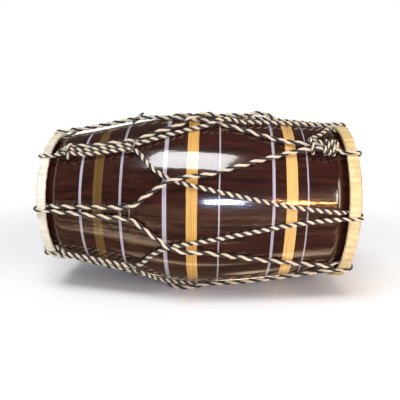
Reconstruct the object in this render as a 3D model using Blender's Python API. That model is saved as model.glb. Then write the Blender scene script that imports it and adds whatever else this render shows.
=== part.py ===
"""Dholak: a barrel drum with two rawhide heads, laced by two ropes and tuned by eight steel rings.

The drum lies on its side. X runs along the barrel from the small treble head (-X) to the large
bass head (+X), and the origin is on the ground under the middle of the drum. Angles go round the
barrel in degrees: 0 faces -Y, 90 faces up. All sizes are in metres.
"""
import math

import bmesh
import bpy
import numpy as np
from mathutils import Matrix, Vector

# Barrel: the turned line of its outside, as radii at three places and slopes at the two ends
HEAD_TO_HEAD = 0.470
LINE_END_X = 0.231
TREBLE_LINE_R = 0.0982
TREBLE_LINE_SLOPE = 0.112
BELLY_X = 0.0085
BELLY_R = 0.1355
BASS_LINE_R = 0.1181
BASS_LINE_SLOPE = -0.026
WALL = 0.012
NECK_WALL = 0.0045
SHOULDER_LENGTH = 0.012

# Height of the barrel's axis above the ground, on which the lowest rope crossings rest
AXIS_HEIGHT = 0.1404

# Heads: rawhide lapped round a flat cane hoop, drawn back a little behind the drumming face
SKIN = 0.0012
COLLAR_SETBACK = 0.004
COLLAR_EDGE_R = 0.0015
HOOP_THICKNESS = 0.003
TREBLE_COLLAR_R = 0.1045
TREBLE_HOOP_WIDTH = 0.0090
BASS_COLLAR_R = 0.1215
BASS_HOOP_WIDTH = 0.0125
PASTE_R = 0.058
PASTE_THICKNESS = 0.003

# Lacing: rope radii where it runs free, where it squeezes round a hoop, and in the tied turns
APEXES = 8
ROPE_R = 0.0035
ROPE_AT_RING_R = 0.0034
ROPE_AT_HOOP_R = 0.0028
ROPE_IN_TURN_R = 0.0026
CROSSING_X = -0.029
PAIR_HALF_GAP = 0.0040
ROPE_HOLE_R = 0.0036

# Tuning rings: bent wire, wider across the lacing than along it, one on each pair of legs
RING_WIDTH = 0.0300
RING_LENGTH = 0.0250
RING_WIRE_R = 0.0011
RING_RISE = 0.0122
RING_X = (-0.0955, -0.0930, -0.0970, -0.1010, -0.0980, -0.0950, -0.1120, -0.0915)
RING_STROKE = 0.040
LEG_AT_RING = 0.0075

# Clearances between neighbours
GAP = 0.0003
ROPE_GAP = 0.00055
LIE_GAP = 0.0006

# Number of flats round the turned pieces
SIDES = 48
HOLE_SIDES = 14
ROPE_BEVEL_STEPS = 1
RING_SEGMENTS = 18
RING_WIRE_SIDES = 6

STEP_DEG = 360.0 / APEXES
FACE_X = HEAD_TO_HEAD / 2
SHELL_END_X = FACE_X - SKIN - GAP
COLLAR_FRONT_X = FACE_X - COLLAR_SETBACK


class Head:
    """Radii and places of one head's collar, hoop and neck, all on its own side of the barrel."""

    def __init__(self, side, collar_r, hoop_width):
        self.side = side
        self.collar_r = collar_r
        self.hoop_out_r = collar_r - SKIN - GAP
        self.hoop_in_r = self.hoop_out_r - HOOP_THICKNESS
        self.under_r = self.hoop_in_r - ROPE_GAP - ROPE_AT_HOOP_R
        self.over_r = collar_r + ROPE_GAP + ROPE_AT_HOOP_R
        self.neck_r = self.under_r - ROPE_AT_HOOP_R - LIE_GAP
        self.hoop_front_x = COLLAR_FRONT_X - SKIN - GAP
        self.hoop_back_x = self.hoop_front_x - hoop_width
        self.lip_x = self.hoop_back_x - GAP - SKIN
        self.exit_x = self.lip_x - 0.0015
        self.neck_x = self.lip_x - 0.003


TREBLE = Head(-1, TREBLE_COLLAR_R, TREBLE_HOOP_WIDTH)
BASS = Head(1, BASS_COLLAR_R, BASS_HOOP_WIDTH)


def cubic(x, x0, r0, s0, x1, r1, s1):
    """Value at x of the cubic with the given values and slopes at x0 and x1."""
    h = x1 - x0
    t = (x - x0) / h
    start = (2 * t ** 3 - 3 * t ** 2 + 1) * r0 + (t ** 3 - 2 * t ** 2 + t) * h * s0
    end = (3 * t ** 2 - 2 * t ** 3) * r1 + (t ** 3 - t ** 2) * h * s1
    return start + end


def barrel_line(x):
    """Radius of the barrel's smooth outer line."""
    if x < BELLY_X:
        return cubic(x, -LINE_END_X, TREBLE_LINE_R, TREBLE_LINE_SLOPE, BELLY_X, BELLY_R, 0.0)
    return cubic(x, BELLY_X, BELLY_R, 0.0, LINE_END_X, BASS_LINE_R, BASS_LINE_SLOPE)


def shell_outside(x):
    """Radius of the shell's outside: the barrel line, drawn in to a neck under each collar."""
    head = TREBLE if x < 0 else BASS
    away = (head.neck_x - abs(x)) / SHOULDER_LENGTH
    if away >= 1:
        return barrel_line(x)
    t = max(away, 0.0)
    ease = t * t * (3 - 2 * t)
    foot = barrel_line(head.side * (head.neck_x - SHOULDER_LENGTH))
    return head.neck_r + (foot - head.neck_r) * ease


def bore_line(x):
    """Radius of the bore: a wall's depth inside the belly, and a thinner wall inside each neck."""
    if x < BELLY_X:
        end = TREBLE.neck_r - NECK_WALL
        return cubic(x, -SHELL_END_X, end, TREBLE_LINE_SLOPE, BELLY_X, BELLY_R - WALL, 0.0)
    return cubic(x, BELLY_X, BELLY_R - WALL, 0.0, SHELL_END_X, BASS.neck_r - NECK_WALL, BASS_LINE_SLOPE)


def smooth(knots, x):
    """Smooth curve through (x, value) knots that never swings past them."""
    xs = np.array([k[0] for k in knots])
    ys = np.array([k[1] for k in knots])
    widths = np.diff(xs)
    slopes = np.diff(ys) / widths
    tangents = np.zeros(len(xs))
    tangents[0], tangents[-1] = slopes[0], slopes[-1]
    for i in range(1, len(xs) - 1):
        if slopes[i - 1] * slopes[i] > 0:
            a = 2 * widths[i] + widths[i - 1]
            b = widths[i] + 2 * widths[i - 1]
            tangents[i] = (a + b) / (a / slopes[i - 1] + b / slopes[i])
    i = int(np.clip(np.searchsorted(xs, x) - 1, 0, len(widths) - 1))
    return float(cubic(x, xs[i], ys[i], tangents[i], xs[i + 1], ys[i + 1], tangents[i + 1]))


def outward(degrees):
    """Direction straight out from the barrel's axis at an angle round it."""
    a = math.radians(degrees)
    return Vector((0.0, -math.cos(a), math.sin(a)))


def place(x, radius, degrees):
    """Point at a place along the barrel, a radius and an angle round it."""
    return Vector((x, 0.0, AXIS_HEIGHT)) + outward(degrees) * float(radius)


def degrees_for(arc, radius):
    """Angle that an arc length takes at a radius."""
    return math.degrees(arc / radius)


def material(name, colour, metallic, roughness):
    """Plain Principled material in the piece's colour."""
    made = bpy.data.materials.new(name)
    made.use_nodes = True
    shader = made.node_tree.nodes["Principled BSDF"]
    shader.inputs["Base Color"].default_value = (*colour, 1.0)
    shader.inputs["Metallic"].default_value = metallic
    shader.inputs["Roughness"].default_value = roughness
    made.diffuse_color = (*colour, 1.0)
    return made


def add_object(name, data, finish):
    """Put a mesh or curve in the scene under its name, with its material."""
    piece = bpy.data.objects.new(name, data)
    bpy.context.scene.collection.objects.link(piece)
    data.materials.append(finish)
    return piece


def mesh_from(name, bm, sharp_degrees=40):
    """Finish a bmesh: faces out, shaded smooth with sharp edges kept."""
    bmesh.ops.recalc_face_normals(bm, faces=bm.faces)
    mesh = bpy.data.meshes.new(name)
    bm.to_mesh(mesh)
    bm.free()
    mesh.shade_smooth()
    mesh.set_sharp_from_angle(angle=math.radians(sharp_degrees))
    return mesh


def turned(name, outline):
    """Mesh turned on the barrel's axis from a closed outline of (x, radius) points."""
    bm = bmesh.new()
    rings = []
    for x, radius in outline:
        if radius <= 0:
            rings.append([bm.verts.new((x, 0.0, AXIS_HEIGHT))])
        else:
            rings.append([bm.verts.new(place(x, radius, 360.0 * i / SIDES)) for i in range(SIDES)])
    for here, after in zip(rings, rings[1:] + rings[:1]):
        if len(here) == 1 and len(after) == 1:
            continue
        for i in range(SIDES):
            j = (i + 1) % SIDES
            corners = [here[i % len(here)], here[j % len(here)], after[j % len(after)], after[i % len(after)]]
            bm.faces.new(list(dict.fromkeys(corners)))
    return mesh_from(name, bm)


def shell_outline():
    """Outline of the hollow shell: outside from treble to bass, then the bore back."""
    outside = []
    for head in (TREBLE, BASS):
        steps = [SHELL_END_X, head.neck_x]
        steps += [head.neck_x - SHOULDER_LENGTH * t for t in (0.25, 0.5, 0.75, 1.0)]
        outside += [head.side * x for x in steps]
    first, last = -TREBLE.neck_x + SHOULDER_LENGTH, BASS.neck_x - SHOULDER_LENGTH
    body = [first + (last - first) * i / 11 for i in range(1, 11)]
    outside = [(x, shell_outside(x)) for x in sorted(outside + body)]
    bore = [(x, bore_line(x)) for x in np.linspace(SHELL_END_X, -SHELL_END_X, 9)]
    return outside + bore


def skin_outline(head):
    """Outline of a head: the drumming face, the step back to the collar and the lap round the hoop."""
    s = head.side
    edge = COLLAR_EDGE_R
    bend_r = head.neck_r + 0.0006
    inside_x = FACE_X - SKIN
    inside_front = COLLAR_FRONT_X - SKIN
    inner_r = head.collar_r - SKIN
    lip_r = head.hoop_in_r + 0.0004
    outer = [(FACE_X, 0.0), (FACE_X, bend_r + 0.0003)]
    outer += [(COLLAR_FRONT_X, head.hoop_in_r)]
    for t in (0, 45, 90):
        a = math.radians(t)
        x = COLLAR_FRONT_X - edge + edge * math.cos(a)
        outer.append((x, head.collar_r - edge + edge * math.sin(a)))
    for t in (0, 45, 90):
        a = math.radians(t)
        x = head.lip_x + edge - edge * math.sin(a)
        outer.append((x, head.collar_r - edge + edge * math.cos(a)))
    outer.append((head.lip_x, lip_r))
    inner = [(head.lip_x + SKIN, lip_r), (head.lip_x + SKIN, inner_r)]
    inner += [(inside_front, inner_r), (inside_front, head.hoop_in_r - GAP)]
    inner += [(inside_x, bend_r), (inside_x, 0.0)]
    return [(s * x, r) for x, r in outer + inner]


def hoop_outline(head):
    """Outline of the flat cane hoop inside a collar."""
    s = head.side
    corners = [(head.hoop_front_x, head.hoop_in_r), (head.hoop_front_x, head.hoop_out_r)]
    corners += [(head.hoop_back_x, head.hoop_out_r), (head.hoop_back_x, head.hoop_in_r)]
    return [(s * x, r) for x, r in corners]


def paste_outline():
    """Outline of the tuning paste, thicker in the middle, on the inner face of the bass head."""
    back = FACE_X - SKIN - GAP
    return [
        (back, 0.0),
        (back, PASTE_R),
        (back - 0.4 * PASTE_THICKNESS, 0.97 * PASTE_R),
        (back - PASTE_THICKNESS, 0.6 * PASTE_R),
        (back - PASTE_THICKNESS, 0.0),
    ]


class Rope:
    """Centre line of one rope, as (point, radius) pairs in the order that it is pulled through."""

    def __init__(self):
        self.points = []

    def add(self, x, radius_at, degrees, thickness=ROPE_R):
        self.points.append((place(x, radius_at, degrees), thickness))


# How far each leg has gone round from its treble apex, in degrees, at places along the barrel.
# The loose-laid rope crosses over the tight-laid one, and both bend where they cross.
LOOSE_SWING = ((-0.062, 12.5), (CROSSING_X, 19.8), (0.010, 22.7), (0.066, 27.5), (0.150, 36.0), (0.2065, 42.6))
TIGHT_SWING = ((-0.062, 17.0), (CROSSING_X, 25.2), (0.010, 29.2), (0.066, 34.0), (0.150, 40.5), (0.2065, 43.0))
# The leg from the top treble apex down to the bound pair, and the one that joins it there
TOP_LEG_SWING = ((-0.050, 13.5), (-0.002, 21.5), (0.047, 29.0), (0.092, 36.3), (0.135, 41.6),
                 (0.157, 43.27), (0.201, 43.2))
BOUND_LEG_SWING = ((-0.062, 12.5), (CROSSING_X, 19.8), (0.010, 22.7), (0.066, 30.0), (0.110, 37.0),
                   (0.140, 41.6), (0.157, 43.27), (0.201, 43.2))
# The tight rope's last leg lies straighter and crosses the top leg further along
LAST_LEG_SWING = ((-0.068, 3.0), (-0.020, 9.5), (0.038, 17.7), (0.094, 24.8), (0.157, 32.5), (0.193, 37.5))

# Half the spread of a leg's two ends at an apex, in degrees, and places along the bass end
EXIT_SWING = 1.75
BOUND_TO_X = 0.201
BASS_FOOT_X = 0.2035

# Heights of the rope's centre above the shell: lying on it, crossing a leg, and in a bound pair
LIE = ROPE_R + LIE_GAP
CROSS_OVER = LIE + 2 * ROPE_R + LIE_GAP
TURN_OFFSET = (ROPE_R + ROPE_IN_TURN_R + LIE_GAP) / math.cos(math.radians(22.5))
BOUND_LIE = ROPE_IN_TURN_R + LIE_GAP + TURN_OFFSET


def ring_tilt_height(across):
    """Height of the rope's centre at which it clears a ring's low side, so far from the middle."""
    half = RING_WIDTH / 2 - RING_WIRE_R
    flat = math.sqrt(1 - (across / half) ** 2)
    low = GAP + RING_WIRE_R + RING_RISE / 2 * (1 - flat)
    return low + RING_WIRE_R + GAP + ROPE_AT_RING_R


def ring_lie():
    """Height of a leg's centre above the shell over the stretch that its ring slides on."""
    drop = LEG_AT_RING ** 2 / (2 * BELLY_R)
    return ring_tilt_height(LEG_AT_RING) + drop + 0.00030


def stations(ring_x, extra):
    """Places along the barrel where a leg has a point: close together where it bends."""
    hoop = [-TREBLE.exit_x, -TREBLE.exit_x + 0.006, -0.203, -0.195, -0.183, -0.168, -0.152]
    ring = [ring_x - 0.044, ring_x - 0.024, ring_x - 0.005, ring_x + 0.011, ring_x + 0.027]
    cross = [CROSSING_X + d for d in (-0.019, -0.009, 0.002, 0.015, 0.029, 0.045)]
    bass = [0.045, 0.085, 0.125, 0.160, 0.180, 0.199, BASS_FOOT_X, BASS.exit_x - 0.0065, BASS.exit_x]
    return sorted(hoop + ring + cross + bass + list(extra))


def leg(rope, apex, turn, swing, bass_swing, to_bass, treble_way, bass_way, lifts,
        ring_swing=None, keep_wide=False, start_swing=EXIT_SWING, extra=()):
    """One run of rope between the heads.

    apex is the treble apex it belongs to, and turn is +1 or -1, the way round that it swings.
    treble_way and bass_way say whether it is over or under the collar at each end, and lifts are
    (x, height above the shell) knots for the stretch between its ring and the bass end.
    """
    ring_x = RING_X[apex % APEXES]
    at_ring = degrees_for(LEG_AT_RING, barrel_line(ring_x) + ring_lie()) if ring_swing is None else ring_swing
    near = at_ring if keep_wide else 0.72 * at_ring
    knots = [(-TREBLE.exit_x, start_swing), (-0.193, max(near * 0.66, start_swing + 0.3))]
    hitched = degrees_for(PAIR_HALF_GAP, barrel_line(-0.190) + BOUND_LIE)
    if keep_wide:
        wide = degrees_for(LEG_AT_RING, barrel_line(-0.168) + ring_lie())
        knots = [(-TREBLE.exit_x, start_swing), (-0.195, hitched), (-0.183, hitched), (-0.168, wide)]
    if ring_swing is not None:
        knots = [(-TREBLE.exit_x, start_swing), (-0.195, hitched), (-0.183, hitched), (-0.168, ring_swing)]
    knots += [(ring_x - 0.012, at_ring * (1.03 if keep_wide else 0.985)), (ring_x + 0.004, at_ring)]
    knots += [k for k in swing if k[0] > ring_x + 0.012]
    knots += [(BASS.exit_x, bass_swing)]
    high = BOUND_LIE if keep_wide or ring_swing is not None else ring_lie()
    heights = {}
    for way, head in ((treble_way, TREBLE), (bass_way, BASS)):
        x = head.side * head.exit_x
        radius = head.over_r if way == "over" else head.under_r
        heights[x] = radius - shell_outside(x)
    x = -TREBLE.exit_x + 0.006
    next_to = TREBLE.over_r - 0.0002 - shell_outside(x) if treble_way == "over" else LIE + 0.0012
    rise = [(-TREBLE.exit_x, heights[-TREBLE.exit_x]), (x, next_to)]
    rise += [(-0.203, (next_to + high) / 2 if treble_way == "over" else high - 0.0015)]
    rise += [(-0.195, high), (-0.183, high), (-0.168, ring_lie()), (ring_x - 0.006, ring_lie())]
    rise += [(ring_x + 0.011, ring_lie() - 0.0011)]
    rise += [k for k in lifts if k[0] > ring_x + 0.02]
    x = BASS.exit_x - 0.0065
    bound = lifts[-1][1] > LIE + 0.001
    if bass_way == "over":
        next_to = BASS.over_r - 0.0001 - shell_outside(x)
    else:
        next_to = LIE + (0.0012 if bound else 0.0006)
    foot = (lifts[-1][1] + next_to) / 2 if bound else LIE + 0.0012
    rise += [(BASS_FOOT_X, foot), (x, next_to), (BASS.exit_x, heights[BASS.exit_x])]
    path = []
    for x in stations(ring_x, extra):
        angle = apex * STEP_DEG + turn * smooth(knots, x)
        thick = ROPE_R
        if x < -0.205 or x > 0.207:
            thick = ROPE_AT_HOOP_R
        elif x < ring_x + 0.02:
            thick = ROPE_AT_RING_R
        path.append((x, shell_outside(x) + smooth(rise, x), angle, thick))
    for point in path if to_bass else reversed(path):
        rope.add(*point)


def hoop_wrap(rope, head, over_deg, under_deg, over_first=True):
    """Rope round a hoop: over the collar, round its front, in through the skin and out under it."""
    wrap_r = ROPE_AT_HOOP_R + ROPE_GAP
    front = COLLAR_FRONT_X
    outer_bend = COLLAR_EDGE_R + wrap_r
    path = [(front - COLLAR_EDGE_R - 0.003, head.over_r)]
    for t in (80, 40, 5):
        a = math.radians(t)
        x = front - COLLAR_EDGE_R + outer_bend * math.cos(a)
        path.append((x, head.collar_r - COLLAR_EDGE_R + outer_bend * math.sin(a)))
    for t in (10, 48, 85):
        a = math.radians(t)
        path.append((front + wrap_r * math.cos(a), head.hoop_in_r - wrap_r * math.sin(a)))
    share = (0.05, 0.12, 0.22, 0.36, 0.48, 0.62, 0.74)
    points = []
    for (x, radius), part in zip(path, share):
        angle = over_deg + (under_deg - over_deg) * part
        points.append((head.side * x, radius, angle, ROPE_AT_HOOP_R))
    for point in points if over_first else reversed(points):
        rope.add(*point)


def hole_angle(over_deg, under_deg):
    """Angle at which a wrapped rope goes through the skin."""
    return over_deg + (under_deg - over_deg) * 0.66


def tied_turns(rope, middle_deg, stops):
    """Turns of rope round a pair of legs: stops are (turns made, x) knots."""
    last = stops[-1][0]
    count = int(round(last * 10))
    for i in range(count + 1):
        made = last * i / count
        x = float(np.interp(made, [stop[0] for stop in stops], [stop[1] for stop in stops]))
        part = (made % 1.0) * 10
        if part < 2.5:
            t, centre = 45 * part, PAIR_HALF_GAP
        elif part < 7.5:
            t, centre = 90 + 45 * (part - 2.5 - 0.5), -PAIR_HALF_GAP
        else:
            t, centre = 270 + 45 * (part - 8.0), PAIR_HALF_GAP
        t = min(max(t, 0), 360)
        a = math.radians(t)
        across = centre + TURN_OFFSET * math.cos(a)
        up = TURN_OFFSET * math.sin(a)
        radius = shell_outside(x) + BOUND_LIE + up
        rope.add(x, radius, middle_deg + degrees_for(across, radius), ROPE_IN_TURN_R)


# Heights above the shell along the legs: (x, height) knots between a leg's ring and the bass end
LOOSE_LIFTS = ((-0.050, LIE + 0.0015), (-0.037, CROSS_OVER), (-0.012, CROSS_OVER), (0.016, LIE), (0.199, LIE))
TIGHT_LIFTS = ((-0.050, LIE), (0.199, LIE))
BOUND_LIFTS = LOOSE_LIFTS[:4] + ((0.135, LIE), (0.156, BOUND_LIE), (BOUND_TO_X, BOUND_LIE))
TOP_LIFTS = ((-0.050, LIE), (0.135, LIE), (0.156, BOUND_LIE), (BOUND_TO_X, BOUND_LIE))
LAST_LIFTS = ((-0.050, LIE), (0.012, LIE), (0.029, CROSS_OVER), (0.047, CROSS_OVER), (0.066, LIE), (0.199, LIE))


def along(rope, knots, thickness=ROPE_R):
    """A stretch of rope through chosen (x, degrees, height above the shell) points."""
    for x, degrees, height in knots:
        rope.add(x, shell_outside(x) + height, degrees, thickness)


def tight_rope():
    """The tightly laid rope: even bass apexes and odd treble ones, tied off round the bound pair."""
    rope = Rope()
    along(rope, ((0.2030, 97.2, LIE + 0.0014), (0.2080, 96.8, LIE + 0.0006)), ROPE_AT_HOOP_R)
    rope.add(BASS.exit_x, BASS.under_r, 96.4, ROPE_AT_HOOP_R)
    hoop_wrap(rope, BASS, 93.2, 96.4, over_first=False)
    leg(rope, 3, -1, TIGHT_SWING, 41.8, False, "over", "over", TIGHT_LIFTS)
    for apex in (3, 5, 7):
        middle = apex * STEP_DEG
        hoop_wrap(rope, TREBLE, middle - EXIT_SWING, middle + EXIT_SWING)
        leg(rope, apex, 1, TIGHT_SWING, STEP_DEG - EXIT_SWING, True, "under", "over", TIGHT_LIFTS)
        middle += STEP_DEG
        hoop_wrap(rope, BASS, middle - EXIT_SWING, middle + EXIT_SWING)
        leg(rope, apex + 2, -1, TIGHT_SWING, STEP_DEG - EXIT_SWING, False, "over", "under",
            TIGHT_LIFTS, keep_wide=apex == 7)
    middle = 9 * STEP_DEG
    hoop_wrap(rope, TREBLE, middle - EXIT_SWING, middle + EXIT_SWING)
    leg(rope, 9, 1, LAST_LEG_SWING, 42.0, True, "under", "over", LAST_LIFTS, ring_swing=0.0,
        extra=(0.027, 0.036, 0.056, 0.066))
    hoop_wrap(rope, BASS, middle + 42.0, middle + 38.8)
    rope.add(BASS.exit_x, BASS.under_r, middle + 38.8, ROPE_AT_HOOP_R)
    along(rope, ((0.2080, middle + 36.8, LIE + 0.0006),), ROPE_AT_HOOP_R)
    along(rope, ((BASS_FOOT_X, middle + 32.2, LIE + 0.0014),), ROPE_AT_HOOP_R)
    along(rope, (
        (0.1990, middle + 27.3, LIE + 0.0003),
        (0.1900, middle + 20.5, LIE),
        (0.1800, middle + 14.5, LIE),
    ))
    along(rope, ((0.1690, middle + 10.8, LIE + 0.0015), (0.1635, middle + 7.8, LIE + 0.004)), ROPE_IN_TURN_R)
    tied_turns(rope, middle, ((0.0, 0.1610), (1.1, 0.1680), (1.2, 0.1740), (1.3, 0.1800), (4.3, 0.1990)))
    return rope


def loose_rope():
    """The loosely laid rope: odd bass apexes and even treble ones, hitched to the pair at the treble end."""
    rope = Rope()
    along(rope, ((0.2030, 142.2, LIE + 0.0014), (0.2080, 141.8, LIE + 0.0006)), ROPE_AT_HOOP_R)
    rope.add(BASS.exit_x, BASS.under_r, 141.4, ROPE_AT_HOOP_R)
    hoop_wrap(rope, BASS, 138.2, 141.4, over_first=False)
    leg(rope, 4, -1, LOOSE_SWING, 41.8, False, "over", "over", LOOSE_LIFTS)
    for apex in (4, 6, 8):
        middle = apex * STEP_DEG
        hoop_wrap(rope, TREBLE, middle - EXIT_SWING, middle + EXIT_SWING)
        swing, lifts = (BOUND_LEG_SWING, BOUND_LIFTS) if apex == 8 else (LOOSE_SWING, LOOSE_LIFTS)
        leg(rope, apex, 1, swing, STEP_DEG - EXIT_SWING, True, "under", "over", lifts)
        middle += STEP_DEG
        hoop_wrap(rope, BASS, middle - EXIT_SWING, middle + EXIT_SWING)
        swing, lifts = (TOP_LEG_SWING, TOP_LIFTS) if apex == 8 else (LOOSE_SWING, LOOSE_LIFTS)
        leg(rope, apex + 2, -1, swing, STEP_DEG - EXIT_SWING, False, "over", "under", lifts)
    middle = 10 * STEP_DEG
    hoop_wrap(rope, TREBLE, middle - EXIT_SWING, middle + EXIT_SWING)
    leg(rope, 10, 1, LOOSE_SWING, 42.0, True, "under", "over", LOOSE_LIFTS)
    hoop_wrap(rope, BASS, middle + 42.0, middle + 38.8)
    rope.add(BASS.exit_x, BASS.under_r, middle + 38.8, ROPE_AT_HOOP_R)
    along(rope, ((0.2080, middle + 37.9, LIE + 0.0006),), ROPE_AT_HOOP_R)
    ring_x = RING_X[1]
    lift = ring_lie()
    along(rope, (
        (BASS_FOOT_X, 486.6, LIE + 0.0012),
        (0.1990, 485.3, LIE + 0.0003),
        (0.1910, 482.9, LIE),
        (0.1650, 475.0, LIE),
        (0.1330, 465.5, LIE),
        (0.1200, 461.6, CROSS_OVER + 0.0005),
        (0.0940, 454.0, CROSS_OVER + 0.0005),
        (0.0780, 449.4, LIE),
        (0.0610, 444.4, LIE + 0.0002),
        (0.0450, 439.5, LIE),
        (0.0280, 434.5, LIE),
        (0.0140, 430.5, CROSS_OVER + 0.0005),
        (-0.0080, 424.7, CROSS_OVER + 0.0005),
        (-0.0250, 420.9, LIE),
        (-0.0470, 416.6, LIE + 0.001),
        (-0.0675, 413.0, lift - 0.002),
        (ring_x + 0.011, 409.0, lift - 0.0011),
        (ring_x - 0.006, 408.4, lift),
        (-0.1400, 408.6, lift),
        (-0.1650, 409.0, lift),
    ))
    along(rope, ((-0.1780, 410.2, BOUND_LIE),), ROPE_IN_TURN_R)
    tied_turns(rope, 9 * STEP_DEG, ((0.0, -0.1850), (1.3, -0.1935)))
    return rope


def least_gap(ropes):
    """Least gap between any two ropes, or two parts of one, sampled every millimetre or two."""
    places, radii, steps, owners = [], [], [], []
    for owner, rope in enumerate(ropes):
        run = 0.0
        for (a, ra), (b, rb) in zip(rope.points, rope.points[1:]):
            length = (b - a).length
            count = max(1, int(length / 0.0015))
            for i in range(count):
                t = i / count
                places.append(a.lerp(b, t))
                radii.append(ra + (rb - ra) * t)
                steps.append(run + length * t)
                owners.append(owner)
            run += length
    places, radii = np.array(places), np.array(radii)
    steps, owners = np.array(steps), np.array(owners)
    least, where = 1.0, None
    for i in range(len(places)):
        gap = np.linalg.norm(places - places[i], axis=1) - radii - radii[i]
        near = (owners == owners[i]) & (np.abs(steps - steps[i]) < 0.016)
        gap[near] = 1.0
        j = int(gap.argmin())
        if gap[j] < least:
            least, where = gap[j], (owners[i], owners[j], places[i])
    return least, where


def turned_piece(name, outline, finish):
    """One piece turned on the barrel's axis."""
    return add_object(name, turned(name, outline), finish)


def rope_holes(name, head, angles):
    """Cutter for the holes through which the rope passes a head, just inside the hoop."""
    bm = bmesh.new()
    middle = head.under_r + 0.0009
    ends = (COLLAR_FRONT_X - 0.0065, FACE_X + 0.004)
    for angle in angles:
        loops = []
        for x in ends:
            loop = []
            for i in range(HOLE_SIDES):
                a = 2 * math.pi * i / HOLE_SIDES
                across = ROPE_HOLE_R * math.cos(a)
                radius = middle + 1.15 * ROPE_HOLE_R * math.sin(a)
                point = place(head.side * x, radius, angle + degrees_for(across, middle))
                loop.append(bm.verts.new(point))
            loops.append(loop)
        for i in range(HOLE_SIDES):
            j = (i + 1) % HOLE_SIDES
            bm.faces.new((loops[0][i], loops[0][j], loops[1][j], loops[1][i]))
        bm.faces.new(loops[0])
        bm.faces.new(loops[1])
    cutter = bpy.data.objects.new(name, mesh_from(name, bm))
    bpy.context.scene.collection.objects.link(cutter)
    cutter.hide_render = True
    cutter.display_type = "WIRE"
    return cutter


def drawn_skin(name, head, finish, angles):
    """A head: rawhide drawn over its hoop, pierced for the lacing."""
    skin = turned_piece(name, skin_outline(head), finish)
    holes = skin.modifiers.new("rope_holes", "BOOLEAN")
    holes.operation = "DIFFERENCE"
    holes.solver = "EXACT"
    holes.object = rope_holes(name + "_cutter", head, angles)
    return skin


def ring_slope(ring_x):
    """Slope of the line that a ring slides on, from its tuned place toward the treble end."""
    start = ring_x - RING_LENGTH / 2
    return (barrel_line(start) - barrel_line(start - RING_STROKE)) / RING_STROKE


def ring_mesh():
    """Bent wire ring, wider across the lacing, one long side lifted to ride over the legs."""
    bm = bmesh.new()
    half_across = RING_WIDTH / 2 - RING_WIRE_R
    half_along = RING_LENGTH / 2 - RING_WIRE_R
    lift = RING_RISE / 2
    level = math.sqrt(half_along ** 2 - lift ** 2)
    loops = []
    for i in range(RING_SEGMENTS):
        t = 2 * math.pi * i / RING_SEGMENTS
        centre = Vector((level * math.cos(t), half_across * math.sin(t), lift * math.cos(t)))
        run = Vector((-level * math.sin(t), half_across * math.cos(t), -lift * math.sin(t))).normalized()
        normal = Vector((-lift, 0.0, level)).normalized()
        side = run.cross(normal)
        loop = []
        for j in range(RING_WIRE_SIDES):
            a = 2 * math.pi * (j + 0.5) / RING_WIRE_SIDES
            loop.append(bm.verts.new(centre + RING_WIRE_R * (math.cos(a) * side + math.sin(a) * normal)))
        loops.append(loop)
    for here, after in zip(loops, loops[1:] + loops[:1]):
        for j in range(RING_WIRE_SIDES):
            k = (j + 1) % RING_WIRE_SIDES
            bm.faces.new((here[j], here[k], after[k], after[j]))
    return mesh_from("tuning_ring", bm, 80)


def tuning_rings(finish):
    """The eight rings, each with its origin in its own middle and its X along the line it slides on."""
    mesh = ring_mesh()
    mesh.materials.append(finish)
    for index, ring_x in enumerate(RING_X):
        slope = math.atan(ring_slope(ring_x))
        height = GAP + RING_WIRE_R + RING_RISE / 2
        degrees = index * STEP_DEG
        out = outward(degrees)
        along_line = Vector((math.cos(slope), 0.0, 0.0)) + out * math.sin(slope)
        lifted = Vector((-math.sin(slope), 0.0, 0.0)) + out * math.cos(slope)
        across = lifted.cross(along_line)
        ring = bpy.data.objects.new(f"tuning_ring_{index + 1}", mesh)
        bpy.context.scene.collection.objects.link(ring)
        foot = place(ring_x, barrel_line(ring_x), degrees)
        turn = Matrix((along_line, across, lifted)).transposed().to_4x4()
        ring.matrix_world = Matrix.Translation(foot + lifted * height) @ turn
        print(f"{ring.name} slides along", [round(-v, 5) for v in along_line])


def rope_object(name, rope, finish):
    """The solid of one rope: a single smooth tube along its whole route."""
    curve = bpy.data.curves.new(name, "CURVE")
    curve.dimensions = "3D"
    curve.bevel_depth = ROPE_R
    curve.bevel_resolution = ROPE_BEVEL_STEPS
    curve.resolution_u = 1
    curve.use_fill_caps = True
    spline = curve.splines.new("POLY")
    spline.points.add(len(rope.points) - 1)
    spline.use_smooth = True
    for point, (centre, thickness) in zip(spline.points, rope.points):
        point.co = (*centre, 1.0)
        point.radius = thickness / ROPE_R
    length = sum((b[0] - a[0]).length for a, b in zip(rope.points, rope.points[1:]))
    print(f"{name} is {length:.3f} m long")
    return add_object(name, curve, finish)


def wrapped_angles(first, shared, last):
    """Angles of a head's rope holes: the plain wraps, and the ones where a rope starts or ends."""
    angles = [hole_angle(a - EXIT_SWING, a + EXIT_SWING) for a in shared]
    return angles + [hole_angle(*pair) for pair in first + last]


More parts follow.
